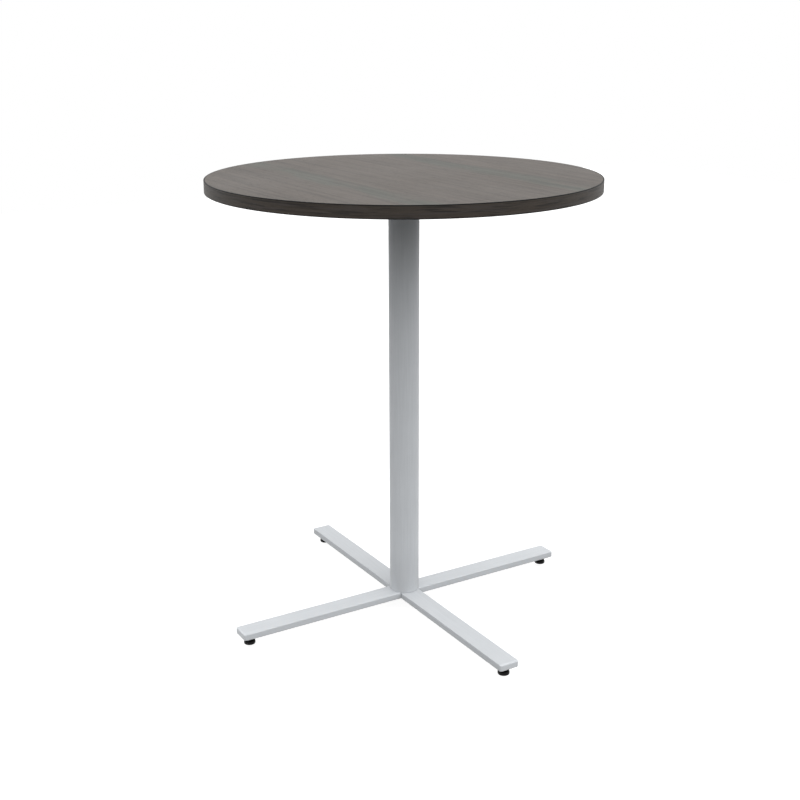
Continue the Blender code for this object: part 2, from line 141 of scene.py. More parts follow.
def turned(section, steps):
    """Spin a closed section of (radius, height, rounding) corners about the Z axis."""
    bm = bmesh.new()
    corners = [bm.verts.new((radius, 0, height)) for radius, height, _ in section]
    bm.faces.new(corners)
    for corner, (_, _, rounding) in zip(corners, section):
        if rounding > 0:
            bmesh.ops.bevel(bm, geom=[corner], offset=rounding, offset_type="OFFSET", affect="VERTICES",
                            segments=ROUNDING_SEGMENTS, profile=0.5, material=-1)
    bmesh.ops.delete(bm, geom=bm.faces[:], context="FACES_ONLY")
    on_axis = [edge for edge in bm.edges if all(vert.co.x < MERGE_DISTANCE for vert in edge.verts)]
    bmesh.ops.delete(bm, geom=on_axis, context="EDGES")
    bmesh.ops.spin(bm, geom=bm.verts[:] + bm.edges[:], cent=(0, 0, 0), axis=(0, 0, 1), dvec=(0, 0, 0),
                   angle=2 * math.pi, steps=steps, use_merge=True, use_duplicate=False)
    bmesh.ops.remove_doubles(bm, verts=bm.verts, dist=MERGE_DISTANCE)
    return bm


def ring_section(inner, outer, low, high, rounding):
    """Section of a ring with four rounded corners."""
    return [(inner, low, rounding), (outer, low, rounding), (outer, high, rounding), (inner, high, rounding)]


# %% Sawing a block and rounding its edges
def block(low, high):
    """A box between two corners."""
    low, high = Vector(low), Vector(high)
    bm = bmesh.new()
    placed = Matrix.Translation((low + high) / 2) @ Matrix.Diagonal((*(high - low), 1))
    bmesh.ops.create_cube(bm, size=1, matrix=placed)
    return bm


def round_edges(bm, wanted, radius, segments=ROUNDING_SEGMENTS):
    """Round the edges that the test picks."""
    edges = [edge for edge in bm.edges if wanted(edge.verts[0].co, edge.verts[1].co)]
    bmesh.ops.bevel(bm, geom=edges, offset=radius, offset_type="OFFSET", affect="EDGES", segments=segments,
                    profile=0.5, material=-1)


# %% Cutting, joining and copying
def to_mesh(bm, name):
    """Move a bmesh into a mesh with outward faces."""
    bmesh.ops.recalc_face_normals(bm, faces=bm.faces)
    mesh = bpy.data.meshes.new(name)
    bm.to_mesh(mesh)
    bm.free()
    return mesh


def combined(bm, tool, operation):
    """Return one bmesh cut by another, joined to it, or kept only where both are."""
    work = bpy.data.objects.new("work", to_mesh(bm, "work"))
    cutter = bpy.data.objects.new("cutter", to_mesh(tool, "cutter"))
    for thing in (work, cutter):
        scene.collection.objects.link(thing)
    modifier = work.modifiers.new("cut", "BOOLEAN")
    modifier.operation = operation
    modifier.object = cutter
    result = bmesh.new()
    result.from_object(work, bpy.context.evaluated_depsgraph_get())
    for thing in (work, cutter):
        mesh = thing.data
        bpy.data.objects.remove(thing)
        bpy.data.meshes.remove(mesh)
    return result


def cylinder(radius, low, high, sides, centre=(0, 0)):
    """An upright closed cylinder, with six sides for a hexagon's corner radius."""
    bm = bmesh.new()
    bmesh.ops.create_cone(bm, cap_ends=True, cap_tris=False, segments=sides, radius1=radius, radius2=radius,
                          depth=high - low, matrix=Matrix.Translation((*centre, (low + high) / 2)))
    return bm


def moved_copy(bm, matrix):
    """A copy of a bmesh, moved or turned by a matrix."""
    twin = bm.copy()
    bmesh.ops.transform(twin, matrix=matrix, verts=twin.verts)
    return twin


# %% [markdown]
# ## Building finishes from nodes
#
# A finish is a small network: texture nodes read the piece's own coordinates in metres, their values are mixed into
# a colour, a roughness and a height, and the height becomes a bump. Writing each node on one line keeps the recipe
# readable from top to bottom.

# %% Node helpers
def new_material(name):
    """A material with only its shader and output, and the piece's own coordinates ready to read."""
    material = bpy.data.materials.new(name)
    material.use_nodes = True
    tree = material.node_tree
    shader = tree.nodes["Principled BSDF"]
    place = tree.nodes.new("ShaderNodeTexCoord").outputs["Object"]
    return material, tree, shader, place


def node(tree, kind, sockets, **settings):
    """Add a node. Each socket is given a value, or another node's output to be linked."""
    made = tree.nodes.new("ShaderNode" + kind)
    for setting, value in settings.items():
        setattr(made, setting, value)
    for key, value in sockets.items():
        if isinstance(value, bpy.types.NodeSocket):
            tree.links.new(value, made.inputs[key])
        else:
            made.inputs[key].default_value = value
    return made


def stretched(tree, place, scale):
    """Coordinates scaled axis by axis, so that a pattern can run longer one way than another."""
    return node(tree, "Mapping", {"Vector": place, "Scale": scale}).outputs["Vector"]


def noise(tree, place, scale=1.0, detail=2.0, roughness=0.5, distortion=0.0):
    """A soft random pattern from 0 to 1."""
    made = node(tree, "TexNoise", {"Vector": place, "Scale": scale, "Detail": detail, "Roughness": roughness,
                                   "Distortion": distortion})
    return made.outputs["Fac"]


def remap(tree, value, low, high, to_low, to_high, smooth=False):
    """Stretch the part of a pattern between two values over another range."""
    kind = "SMOOTHSTEP" if smooth else "LINEAR"
    made = node(tree, "MapRange", {"Value": value, "From Min": low, "From Max": high, "To Min": to_low,
                                   "To Max": to_high}, interpolation_type=kind)
    return made.outputs["Result"]


def soft_patches(tree, place, scale, roughness=0.5):
    """Cloudy patches from 0 to 1."""
    clouds = noise(tree, place, scale=scale, detail=4, roughness=roughness)
    return remap(tree, clouds, 0.35, 0.65, 0, 1, smooth=True)


def maths(tree, operation, first, second=0.0, third=0.0):
    """Arithmetic on up to three values or patterns."""
    return node(tree, "Math", {0: first, 1: second, 2: third}, operation=operation).outputs[0]


def grey(tree, value):
    """A grey as light as the value."""
    return node(tree, "CombineColor", {0: value, 1: value, 2: value}).outputs[0]


def mix_colours(tree, factor, first, second, blend="MIX"):
    """Blend two colours by a factor."""
    made = node(tree, "Mix", {"Factor": factor}, data_type="RGBA", blend_type=blend)
    for key, value in ((6, first), (7, second)):
        if isinstance(value, bpy.types.NodeSocket):
            tree.links.new(value, made.inputs[key])
        else:
            made.inputs[key].default_value = (*value, 1)
    return made.outputs[2]


def seen_directly(tree):
    """1 where the camera looks, also by a reflection or through something clear, and 0 for light that bounces."""
    ray = node(tree, "LightPath", {}).outputs
    seen = maths(tree, "MAXIMUM", ray["Is Camera Ray"], ray["Is Glossy Ray"])
    return maths(tree, "MAXIMUM", seen, ray["Is Transmission Ray"])


def finish(tree, shader, colour, roughness, height, bump_depth, specular=0.5, metallic=0.0):
    """Link a finish to its shader. The bump's depth is a real one, in metres."""
    tree.links.new(colour, shader.inputs["Base Color"])
    tree.links.new(roughness, shader.inputs["Roughness"])
    bump = node(tree, "Bump", {"Height": height, "Strength": 1.0, "Distance": bump_depth})
    tree.links.new(bump.outputs["Normal"], shader.inputs["Normal"])
    shader.inputs["Specular IOR Level"].default_value = specular
    shader.inputs["Metallic"].default_value = metallic


# %% [markdown]
# ## Dark wood-grain laminate
#
# The surface is not timber but a printed and lightly embossed laminate sheet. Its print is a pinkish dark brown with
# soft greenish bands about a hand wide, which follow the joints of the printed veneer leaves, 40 cm apart. Over both
# run dark streaks, fine fibres and short dark pores, all one way. Each of them is noise that is stretched along the
# grain. The fibres and the pores are also pressed into the surface, so that the gloss breaks up along them as it does
# on the real sheet.

# %% Wood print
PINK_BROWN = (0.0848, 0.0700, 0.0580)
GREEN_TINT = (0.780, 1.000, 0.975)
DARK_STREAK = (0.0400, 0.0331, 0.0275)
PORE_BROWN = (0.0220, 0.0182, 0.0155)
GREEN_STRENGTH = 0.85
GREEN_FAINTEST = 0.20
STREAK_STRENGTH = 0.75
PORE_STRENGTH = 0.75
FIBRE_DARKEST = 0.74
FIBRE_RANGE = 0.60
FIBRE_RELIEF = 0.35
PORE_ROUGHNESS = 0.14

# Each leaf of the print is this wide. Green starts and is full at these distances from the leaf's middle.
LEAF_WIDTH = 0.400
LEAF_SHIFT = 0.010
LEAF_SWAY = 0.05
GREEN_STARTS = 0.150
GREEN_FULL = 0.180

# Repeats per metre: across the grain, along it, and through the sheet.
STREAK_SCALE = (75, 1.3, 75)
FIBRE_SCALE = (820, 8, 820)
PORE_SCALE = (1400, 38, 1400)
SWAY_SCALE = (11, 2.6, 11)
FADE_SCALE = (22, 5.0, 22)
HANDLING_SCALE = 5


def wood_print(tree, along_y, tint=1.0):
    """Colour, pores and fibres of the printed grain, which runs along the second coordinate."""
    streaks = noise(tree, stretched(tree, along_y, STREAK_SCALE), detail=4, roughness=0.6, distortion=0.4)
    streaks = remap(tree, streaks, 0.38, 0.72, 0, 1, smooth=True)
    fibres = noise(tree, stretched(tree, along_y, FIBRE_SCALE), detail=3, roughness=0.65)
    fibres = remap(tree, fibres, 0.30, 0.70, 0, 1)
    pores = noise(tree, stretched(tree, along_y, PORE_SCALE), detail=1, roughness=0.4)
    pores = remap(tree, pores, 0.65, 0.73, 0, 1, smooth=True)
    tone = mix_colours(tree, maths(tree, "MULTIPLY", streaks, STREAK_STRENGTH), PINK_BROWN, DARK_STREAK)
    lighter = maths(tree, "MULTIPLY_ADD", fibres, FIBRE_RANGE * tint, FIBRE_DARKEST * tint)
    tone = mix_colours(tree, 1.0, tone, grey(tree, lighter), "MULTIPLY")
    tone = mix_colours(tree, maths(tree, "MULTIPLY", pores, PORE_STRENGTH), tone, PORE_BROWN)
    return tone, pores, fibres


def green_bands(tree, place):
    """Where the print turns greenish: wavering bands along the edges of the leaves, fainter in places."""
    across = node(tree, "SeparateXYZ", {"Vector": place}).outputs["X"]
    sway = noise(tree, stretched(tree, place, SWAY_SCALE), detail=5, roughness=0.72)
    sway = remap(tree, sway, 0, 1, -LEAF_SWAY - LEAF_SHIFT, LEAF_SWAY - LEAF_SHIFT)
    from_leaf_middle = maths(tree, "PINGPONG", maths(tree, "ADD", across, sway), LEAF_WIDTH / 2)
    band = remap(tree, from_leaf_middle, GREEN_STARTS, GREEN_FULL, 0, 1, smooth=True)
    fading = noise(tree, stretched(tree, place, FADE_SCALE), detail=3, roughness=0.6)
    return maths(tree, "MULTIPLY", band, remap(tree, fading, 0.38, 0.54, GREEN_FAINTEST, 1, smooth=True))


def make_laminate():
    """The tabletop's surface sheet."""
    material, tree, shader, place = new_material("dark_wood_laminate")
    tone, pores, fibres = wood_print(tree, place)
    greenish = maths(tree, "MULTIPLY", green_bands(tree, place), GREEN_STRENGTH)
    tone = mix_colours(tree, greenish, tone, GREEN_TINT, "MULTIPLY")
    handling = noise(tree, place, scale=HANDLING_SCALE, detail=3, roughness=0.55)
    satin = remap(tree, handling, 0.3, 0.7, 0.49, 0.54)
    roughness = maths(tree, "MULTIPLY_ADD", pores, PORE_ROUGHNESS, satin)
    height = maths(tree, "MULTIPLY_ADD", fibres, FIBRE_RELIEF, maths(tree, "MULTIPLY", pores, -1.0))
    finish(tree, shader, tone, roughness, height, bump_depth=0.000012, specular=0.35)
    return material


LAMINATE = make_laminate()
print("laminate nodes:", len(LAMINATE.node_tree.nodes))

# %% [markdown]
# ## The edge band
#
# The band is a plastic strip with the same print, glued round the rim, so its grain runs round the table. To make a
# pattern follow a circle, the angle about the column is measured and multiplied by the radius, which gives the
# distance along the rim. A real band has one butt joint, and so has this one: it is turned to the side away from the
# camera, and a hairline there hides the place where the angle starts again. The print is finer than the sheet's, with
# slightly redder streaks and nearly black ones. At the trimmed corners the print is scraped away and the darker
# plastic shows, and this dark strip is drawn wider than the rounding, as painted shade along the band's top and
# bottom edges.

# %% Edge band finish
BAND_JOINT_HEADING = math.radians(40)
BAND_JOINT_HALF_WIDTH = 0.00012
BAND_RED = (0.0550, 0.0475, 0.0445)
BAND_DARK = (0.0105, 0.0104, 0.0104)
BAND_PLASTIC = (0.0030, 0.0028, 0.0027)
BAND_TINT = 0.615
BAND_RED_STRENGTH = 0.75
BAND_DARK_STRENGTH = 0.68

# How far the dark strip reaches from each corner, bare plastic on the trimmed rounding and painted shade beyond it,
# and the share of that which is fully dark.
BAND_PRINT_SCALE = (2.2, 4, 1)
BAND_RED_SCALE = (150, 7, 1)
BAND_DARK_SCALE = (210, 11, 1)

# How far the trimming reaches from each corner, and the share of that which is fully bare.
DARK_EDGE_WIDTH = 0.0021
DARK_EDGE_FULL = 0.8


def make_edge_band_finish(radius, low, high):
    """Wood print that runs round the rim, with its joint line, and a dark strip at each corner that is partly bare
    plastic and partly painted shade.
    """
    material, tree, shader, place = new_material("dark_wood_edge_band")
    turned_place = node(tree, "Mapping", {"Vector": place, "Rotation": (0, 0, math.pi / 2 + BAND_JOINT_HEADING)})
    parts = node(tree, "SeparateXYZ", {"Vector": turned_place.outputs["Vector"]}).outputs
    arc = maths(tree, "MULTIPLY", maths(tree, "ARCTAN2", parts["Y"], parts["X"]), radius)
    unrolled = node(tree, "CombineXYZ", {"X": parts["Z"], "Y": arc, "Z": 0.0}).outputs["Vector"]
    tone, pores, fibres = wood_print(tree, stretched(tree, unrolled, BAND_PRINT_SCALE), tint=BAND_TINT)
    red = noise(tree, stretched(tree, unrolled, BAND_RED_SCALE), detail=3, roughness=0.6)
    red = remap(tree, red, 0.48, 0.62, 0, BAND_RED_STRENGTH, smooth=True)
    tone = mix_colours(tree, red, tone, BAND_RED)
    dark = noise(tree, stretched(tree, unrolled, BAND_DARK_SCALE), detail=3, roughness=0.6)
    dark = remap(tree, dark, 0.51, 0.64, 0, BAND_DARK_STRENGTH, smooth=True)
    tone = mix_colours(tree, dark, tone, BAND_DARK)
    # Painted shade with bare plastic: a dark strip along the band's top and bottom edges, bare plastic on the trimmed
    # rounding and painted shade on the flat face beyond it.
    from_middle = maths(tree, "ABSOLUTE", maths(tree, "SUBTRACT", parts["Z"], (low + high) / 2))
    half = (high - low) / 2
    dark_edge_starts = half - DARK_EDGE_WIDTH
    dark_edge_full = half - DARK_EDGE_WIDTH * DARK_EDGE_FULL
    bare_plastic_and_shade = remap(tree, from_middle, dark_edge_starts, dark_edge_full, 0, 1, smooth=True)
    from_joint = maths(tree, "SUBTRACT", math.pi * radius, maths(tree, "ABSOLUTE", arc))
    joint = remap(tree, from_joint, BAND_JOINT_HALF_WIDTH, 2 * BAND_JOINT_HALF_WIDTH, 1, 0)
    tone = mix_colours(tree, maths(tree, "MAXIMUM", bare_plastic_and_shade, joint), tone, BAND_PLASTIC)
    sunk = maths(tree, "MULTIPLY", maths(tree, "MAXIMUM", pores, joint), -1.0)
    height = maths(tree, "MULTIPLY_ADD", fibres, FIBRE_RELIEF, sunk)
    roughness = remap(tree, fibres, 0, 1, 0.46, 0.54)
    finish(tree, shader, tone, roughness, height, bump_depth=0.000015, specular=0.14)
    return material


# %% [markdown]
# ## Silver powder coat
#
# The column and the legs are steel, powder coated in a satin silver. Powder melts on the steel in the oven and keeps
# a faint orange peel, waves about two millimetres across. The tubes were drawn and brushed clean before coating, and
# that shows through as very faint streaks along each tube. So the same recipe is made four times: with the streaks
# running up the column, along the through leg and along the half legs, and once for the end caps, the hub plate and
# its welds. The copies also carry painted light and shade: the column, caps, hub plate and welds are painted a little
# lighter than the through leg, and the half legs a little darker, for the light that falls on each. The column also
# gets painted shade towards its foot, where it stands on the legs.

# %% Silver paint
SILVER = (0.604, 0.627, 0.652)
SILVER_DARKER = (0.530, 0.552, 0.575)
FLAKE_SILVER = (0.80, 0.81, 0.82)
CLOUD_SHARE = 0.20
DRAWN_SHARE = 0.45
FLAKE_SHARE = 0.10
DRAWN_WIDTH = 0.0030
DRAWN_LENGTH = 0.120
CLOUD_SCALE = 9
FLAKE_SCALE = 1600
PEEL_SCALE = 520
# Painted shade towards the column's foot: its colour, how far up it reaches, and its strength.
FOOT_SHADE_SILVER = (0.30, 0.31, 0.325)
FOOT_SHADE_REACH = 0.160
FOOT_SHADE_STRENGTH = 0.30

# Painted light and shade: the column, caps, hub plate and welds are painted lighter, and the half legs darker, than
# the through leg, for the light that falls on each.
COLUMN_PAINTED_LIGHT = 1.02
HALF_LEG_PAINTED_SHADE = 0.945
CAP_PAINTED_LIGHT = 1.05


def make_silver(name, drawn_along, painted_shading=1.0, corner=None):
    """Satin silver powder coat with orange peel, flakes, cloudy patches and streaks, made lighter or darker in paint
    for the light it gets, and perhaps with painted shade towards its foot.
    """
    material, tree, shader, place = new_material(name)
    clouds = soft_patches(tree, place, CLOUD_SCALE, roughness=0.6)
    scale = [1 / DRAWN_LENGTH if axis == drawn_along else 1 / DRAWN_WIDTH for axis in "XYZ"]
    streaks = remap(tree, noise(tree, stretched(tree, place, scale), detail=3, roughness=0.6), 0.35, 0.65, 0, 1)
    flakes = remap(tree, noise(tree, place, scale=FLAKE_SCALE, detail=1), 0.42, 0.70, 0, 1)
    # Painted light and shade: the whole coat is made lighter or darker by this factor.
    silver = [channel * painted_shading for channel in SILVER]
    darker = [channel * painted_shading for channel in SILVER_DARKER]
    uneven = maths(tree, "MULTIPLY_ADD", clouds, CLOUD_SHARE, maths(tree, "MULTIPLY", streaks, DRAWN_SHARE))
    tone = mix_colours(tree, uneven, silver, darker)
    tone = mix_colours(tree, maths(tree, "MULTIPLY", flakes, FLAKE_SHARE), tone, FLAKE_SILVER)
    # Painted shade: the coat darkens towards the column's foot, where it stands on the legs.
    if corner is not None:
        height = node(tree, "SeparateXYZ", {"Vector": place}).outputs["Z"]
        painted_foot_shade = remap(tree, height, corner, corner + FOOT_SHADE_REACH, FOOT_SHADE_STRENGTH, 0, smooth=True)
        tone = mix_colours(tree, painted_foot_shade, tone, FOOT_SHADE_SILVER)
    peel = noise(tree, place, scale=PEEL_SCALE, detail=1.5, roughness=0.4)
    roughness = remap(tree, clouds, 0, 1, 0.40, 0.46)
    finish(tree, shader, tone, roughness, peel, bump_depth=0.000018, specular=0.30)
    return material


COLUMN_SILVER = make_silver("silver_coat_column", "Z", painted_shading=COLUMN_PAINTED_LIGHT, corner=span("column_tube")[0].z)
THROUGH_LEG_SILVER = make_silver("silver_coat_through_leg", "X")
HALF_LEG_SILVER = make_silver("silver_coat_half_legs", "Y", painted_shading=HALF_LEG_PAINTED_SHADE)
CAP_SILVER = make_silver("silver_coat_caps", "Z", painted_shading=CAP_PAINTED_LIGHT)

# %% [markdown]
# ## Plain finishes for the small parts
#
# Nylon feet come out of a mould with a fine satin texture. Screws, nuts, washers and glide stems are zinc plated,
# which is a soft grey metal with cloudy patches. Hidden steel is black primer, the threaded inserts are brass, the
# core is raw particleboard, and the sheet under the top is a plain brown backer.

# %% Small finishes
NYLON_BLACK = (0.0035, 0.0035, 0.0037)
NYLON_SCUFFED = (0.012, 0.012, 0.0125)
SCUFF_STRENGTH = 0.35
ZINC_BRIGHT = (0.62, 0.62, 0.60)
ZINC_DULL = (0.50, 0.50, 0.49)
PRIMER_DARK = (0.020, 0.020, 0.021)
PRIMER_LIGHT = (0.034, 0.034, 0.035)
BRASS_BRIGHT = (0.66, 0.46, 0.18)
BRASS_DULL = (0.50, 0.33, 0.12)
CHIP_LIGHT = (0.50, 0.35, 0.20)
CHIP_DARK = (0.30, 0.19, 0.10)
BACKER_LIGHT = (0.060, 0.049, 0.041)
BACKER_DARK = (0.048, 0.039, 0.033)


def make_nylon():
    """Moulded black nylon with a few scuffs."""
    material, tree, shader, place = new_material("black_nylon")
    grain = noise(tree, place, scale=1800, detail=2)
    scuffs = remap(tree, noise(tree, place, scale=140, detail=4, roughness=0.65), 0.56, 0.72, 0, 1, smooth=True)
    tone = mix_colours(tree, maths(tree, "MULTIPLY", scuffs, SCUFF_STRENGTH), NYLON_BLACK, NYLON_SCUFFED)
    roughness = remap(tree, scuffs, 0, 1, 0.34, 0.52)
    finish(tree, shader, tone, roughness, grain, bump_depth=0.000012, specular=0.14)
    return material


def make_zinc():
    """Zinc plating with cloudy patches and fine scratches."""
    material, tree, shader, place = new_material("zinc_plating")
    clouds = soft_patches(tree, place, 160)
    tone = mix_colours(tree, clouds, ZINC_BRIGHT, ZINC_DULL)
    scratches = noise(tree, stretched(tree, place, (2600, 2600, 220)), detail=2)
    roughness = remap(tree, clouds, 0, 1, 0.26, 0.38)
    finish(tree, shader, tone, roughness, scratches, bump_depth=0.000006, metallic=1.0)
    return material


def make_black_steel():
    """Black primer on the hidden steel."""
    material, tree, shader, place = new_material("black_primer")
    clouds = soft_patches(tree, place, 30)
    tone = mix_colours(tree, clouds, PRIMER_DARK, PRIMER_LIGHT)
    roughness = remap(tree, clouds, 0, 1, 0.42, 0.58)
    finish(tree, shader, tone, roughness, noise(tree, place, scale=700, detail=2), bump_depth=0.00002)
    return material


def make_brass():
    """Plain turned brass."""
    material, tree, shader, place = new_material("insert_brass")
    clouds = noise(tree, place, scale=300, detail=3)
    tone = mix_colours(tree, clouds, BRASS_BRIGHT, BRASS_DULL)
    roughness = remap(tree, clouds, 0.3, 0.7, 0.28, 0.42)
    rings = noise(tree, stretched(tree, place, (80, 80, 4000)), detail=1)
    finish(tree, shader, tone, roughness, rings, bump_depth=0.000008, metallic=1.0)
    return material


def make_particleboard():
    """Pressed wood chips, light and dark."""
    material, tree, shader, place = new_material("raw_particleboard")
    chips = node(tree, "TexVoronoi", {"Vector": stretched(tree, place, (420, 300, 900)), "Scale": 1.0})
    shade = node(tree, "SeparateColor", {"Color": chips.outputs["Color"]}).outputs[0]
    tone = mix_colours(tree, shade, CHIP_LIGHT, CHIP_DARK)
    roughness = remap(tree, shade, 0, 1, 0.82, 0.95)
    finish(tree, shader, tone, roughness, chips.outputs["Distance"], bump_depth=0.0003)
    return material


def make_backer():
    """Plain brown backer sheet, faintly sanded."""
    material, tree, shader, place = new_material("brown_backer")
    clouds = soft_patches(tree, place, 9)
    tone = mix_colours(tree, clouds, BACKER_LIGHT, BACKER_DARK)
    sanding = noise(tree, stretched(tree, place, (40, 1500, 40)), detail=2)
    finish(tree, shader, tone, remap(tree, clouds, 0, 1, 0.52, 0.60), sanding, bump_depth=0.00001)
    return material


NYLON = make_nylon()
ZINC = make_zinc()
BLACK_STEEL = make_black_steel()
BRASS = make_brass()
PARTICLEBOARD = make_particleboard()
BACKER = make_backer()
print("finishes:", len(bpy.data.materials))

# %% [markdown]
# ## The tabletop
#
# The top is a sandwich: a particleboard core, the printed sheet above, a backer sheet below, and the band round all
# three. From a step away it is one disc, but the light shows its edges: the rim of each sheet is eased, a fine glue
# line follows, and the band's outer corners are trimmed to a small radius. Discs and band are turned from their
# sections, with enough steps that the rim reads as a true circle.

# %% Laminate, band and backer
RIM_STEPS = 384
BAND_THICKNESS = 0.003
GLUE_LINE = 0.00006
SHEET_EASING = 0.00025
BAND_CORNER = 0.0011
BAND_INNER_CORNER = 0.00025

band_low, band_high, _ = span("edge_band")
sheet_low, sheet_high, _ = span("top_laminate")
backer_low, backer_high, _ = span("backer_sheet")
top_radius = (band_high.x - band_low.x) / 2
band_inner = top_radius - BAND_THICKNESS
sheet_radius = band_inner - GLUE_LINE

add_piece("laminate_sheet", turned([(0, sheet_low.z, 0), (sheet_radius, sheet_low.z, 0),
                                    (sheet_radius, sheet_high.z, SHEET_EASING), (0, sheet_high.z, 0)], RIM_STEPS),
          LAMINATE, ["top_laminate"])
add_piece("backer_disc", turned([(0, backer_low.z, 0), (sheet_radius, backer_low.z, SHEET_EASING),
                                 (sheet_radius, backer_high.z, 0), (0, backer_high.z, 0)], RIM_STEPS),
          BACKER, ["backer_sheet"])
band_section = [(band_inner, band_low.z, BAND_INNER_CORNER), (top_radius, band_low.z, BAND_CORNER),
                (top_radius, band_high.z, BAND_CORNER), (band_inner, band_high.z, BAND_INNER_CORNER)]
band_finish = make_edge_band_finish(top_radius, band_low.z, band_high.z)
add_piece("wood_edge_band", turned(band_section, RIM_STEPS), band_finish, ["edge_band"])
print("top:", round(2 * top_radius, 4), "m across,", round(band_high.z - band_low.z, 4), "m thick")

# %% [markdown]
# ## The column
#
# A welded tube, ground smooth before coating, so no seam shows. Its cut ends are deburred, and that small rounding
# is what draws the thin line of light round the foot where it stands on the legs.

# %% Column
COLUMN_STEPS = 192
COLUMN_WALL = 0.002
DEBURR = 0.0005

column_low, column_high, _ = span("column_tube")
column_radius = (column_high.x - column_low.x) / 2
add_piece("silver_column", turned(ring_section(column_radius - COLUMN_WALL, column_radius, column_low.z,
                                               column_high.z, DEBURR), COLUMN_STEPS),
          COLUMN_SILVER, ["column_tube"])
print("column:", round(2 * column_radius, 4), "m across")

# %% [markdown]
# ## The legs
#
# Each leg is flat rectangular tube. One runs right through, and two shorter ones meet its sides. Tube corners are
# rolled, not sharp, so the four long edges are rounded. The leg is cut open with its bore, and with the hole that the
# glide's insert sits in, so that it is a tube and not a solid bar. The short legs are held from below by the hub
# plate, so the joints at their ends stay open as fine dark lines.

# %% Leg tubes
LEG_WALL = 0.003
LEG_EDGE_RADIUS = 0.0020
OPEN_JOINT = 0.0013
END_BREAK = 0.0002
OVERRUN = 0.002
INSERT_HOLE_RADIUS = 0.0058
GLIDE_SIDES = ("right", "back", "left", "front")

through_low, through_high, _ = span("through_leg")
leg_half_width = (through_high.y - through_low.y) / 2
leg_bottom, leg_top = through_low.z, through_high.z
glide_reach = abs(span("glide_pad_right")[2].x)


def side_turn(side):
    """Turn about Z that takes a leg modelled along +X to its place."""
    return Matrix.Rotation(GLIDE_SIDES.index(side) * math.pi / 2, 4, "Z")


def leg_tube(start, end, insert_places):
    """Rectangular tube along X with rolled edges, an open bore and holes for the inserts."""
    bm = block((start, -leg_half_width, leg_bottom), (end, leg_half_width, leg_top))
    round_edges(bm, lambda a, b: abs(a.x - b.x) > (end - start) / 2, LEG_EDGE_RADIUS)
    round_edges(bm, lambda a, b: abs(a.x - b.x) < MERGE_DISTANCE, END_BREAK, segments=1)
    bore = block((start - OVERRUN, LEG_WALL - leg_half_width, leg_bottom + LEG_WALL),
                 (end + OVERRUN, leg_half_width - LEG_WALL, leg_top - LEG_WALL))
    bm = combined(bm, bore, "DIFFERENCE")
    for place in insert_places:
        hole = cylinder(INSERT_HOLE_RADIUS, leg_bottom - OVERRUN, leg_bottom + LEG_WALL + OVERRUN,
                        SMALL_ROUND_SIDES, (place, 0))
        bm = combined(bm, hole, "DIFFERENCE")
    return bm


add_piece("through_leg_tube", leg_tube(through_low.x, through_high.x, (-glide_reach, glide_reach)),
          THROUGH_LEG_SILVER, ["through_leg"])
half_low, half_high, _ = span("half_leg_back")
half_leg = leg_tube(half_low.y + OPEN_JOINT, half_high.y, (glide_reach,))
for side in ("back", "front"):
    add_piece(f"half_leg_tube_{side}", moved_copy(half_leg, side_turn(side)), HALF_LEG_SILVER,
              ["half_leg_" + side])
half_leg.free()
print("legs:", round(2 * leg_half_width, 4), "m wide,", round(leg_top - leg_bottom, 4), "m thick")

# %% [markdown]
# ## Leg end caps
#
# A thick plate closes each leg and is ground to the tube's shape. Its two upright corners are rounded in plan, and
# its other outer edges are rounded a little more than the tube's. The welded joint is dressed flat but stays as a
# hairline across the leg.

# %% End caps
CAP_CORNER_RADIUS = 0.0052
CAP_CORNER_SEGMENTS = 8
CAP_EDGE_RADIUS = 0.0025
CAP_SEAM = 0.00005

cap_low, cap_high, _ = span("leg_end_cap_right")
cap_start = through_high.x + CAP_SEAM
end_cap = block((cap_start, cap_low.y, cap_low.z), (cap_high.x, cap_high.y, cap_high.z))
round_edges(end_cap, lambda a, b: abs(a.z - b.z) > OVERRUN and min(a.x, b.x) > cap_high.x - OVERRUN,
            CAP_CORNER_RADIUS, CAP_CORNER_SEGMENTS)
round_edges(end_cap, lambda a, b: abs(a.z - b.z) < MERGE_DISTANCE and max(a.x, b.x) > cap_start + MERGE_DISTANCE,
            CAP_EDGE_RADIUS)
for side in GLIDE_SIDES:
    add_piece(f"end_cap_{side}", moved_copy(end_cap, side_turn(side)), CAP_SILVER, ["leg_end_cap_" + side])
end_cap.free()

# %% [markdown]
# ## Threads
# The glide stems and the tie rod are threaded. A thread is a groove that climbs one pitch in each turn. Here a ring
# is extruded up the rod in small steps, and each point is drawn in by how far it is from the crest of the helix,
# which its height and its angle tell. At both ends the groove fades into a short taper, so the ends stay round.

# %% Rod of rings
def ringed_rod(sides, radius, low, high, rows, width_at):
    """A closed upright rod of rings, where each point keeps the share of the radius that its place gives."""
    bm = bmesh.new()
    bmesh.ops.create_circle(bm, segments=sides, radius=radius, matrix=Matrix.Translation((0, 0, low)))
    first = bm.edges[:]
    ring = first
    for _ in range(rows):
        drawn = bmesh.ops.extrude_edge_only(bm, edges=ring)["geom"]
        risen = {item for item in drawn if isinstance(item, bmesh.types.BMVert)}
        bmesh.ops.translate(bm, verts=list(risen), vec=(0, 0, (high - low) / rows))
        ring = [item for item in drawn if isinstance(item, bmesh.types.BMEdge) and set(item.verts) <= risen]
    for vert in bm.verts:
        vert.co.xy = vert.co.xy * width_at(vert.co)
    for loop in (first, ring):
        bmesh.ops.contextual_create(bm, geom=loop)
    return bm


# %% Threaded rod
THREAD_SIDES = 36
ROWS_PER_TURN = 8


